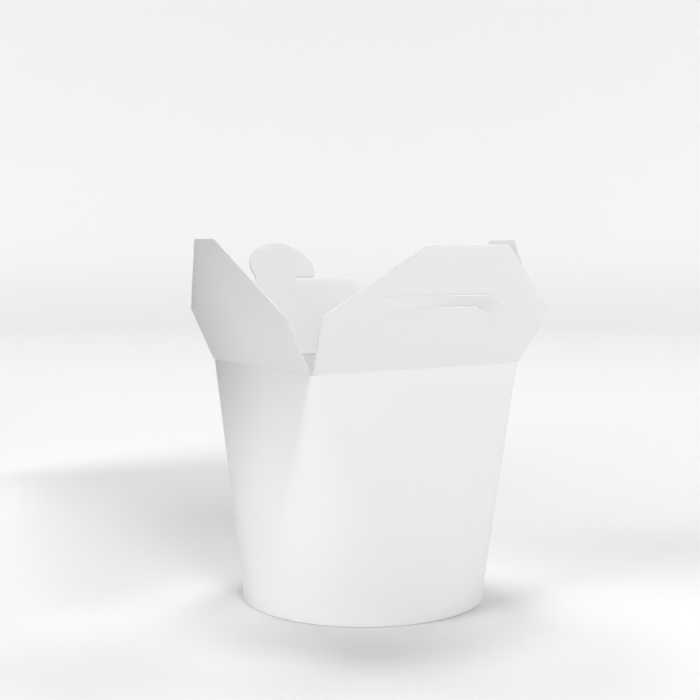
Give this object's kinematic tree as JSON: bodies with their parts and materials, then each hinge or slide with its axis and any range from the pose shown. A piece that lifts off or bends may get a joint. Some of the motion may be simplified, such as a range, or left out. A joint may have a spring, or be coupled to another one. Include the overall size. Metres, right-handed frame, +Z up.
{
  "type": "noodle takeaway box",
  "caption": "Open round-base takeaway food box of white folded paperboard, with a tapering wall, plain side flaps, a slotted front flap and a back flap with a locking tab.",
  "frame": {"origin": "centre of the round base, on the surface that the box stands on", "axes": "+Z up; -Y is the front with the slotted flap, +Y the back with the tab flap, -X and +X the plain side flaps"},
  "size_m": [0.1417, 0.1428, 0.1449],
  "materials": {
    "white_board": "smooth bleached white paperboard, matt with a faint sheen",
    "base_board": "smooth bleached white paperboard, matt"
  },
  "bodies": {
    "box": {"wall": "white_board", "base": "base_board"},
    "front_flap": {"front_flap": "white_board"},
    "back_flap": {"back_flap": "white_board"},
    "left_flap": {"left_flap": "white_board"},
    "right_flap": {"right_flap": "white_board"}
  },
  "joints": [
    {"name": "front_crease", "type": "hinge", "parent": "box", "child": "front_flap", "pos_m": [0, -0.0401, 0.096], "axis": [-1, 0, 0], "range_deg": [-77, 98]},
    {"name": "back_crease", "type": "hinge", "parent": "box", "child": "back_flap", "pos_m": [0, 0.0401, 0.096], "axis": [1, 0, 0], "range_deg": [-76, 84]},
    {"name": "left_crease", "type": "hinge", "parent": "box", "child": "left_flap", "pos_m": [-0.0471, 0, 0.0953], "axis": [0, 1, 0], "range_deg": [-85, 115]},
    {"name": "right_crease", "type": "hinge", "parent": "box", "child": "right_flap", "pos_m": [0.0471, 0, 0.0953], "axis": [0, -1, 0], "range_deg": [-84, 118.5]}
  ]
}
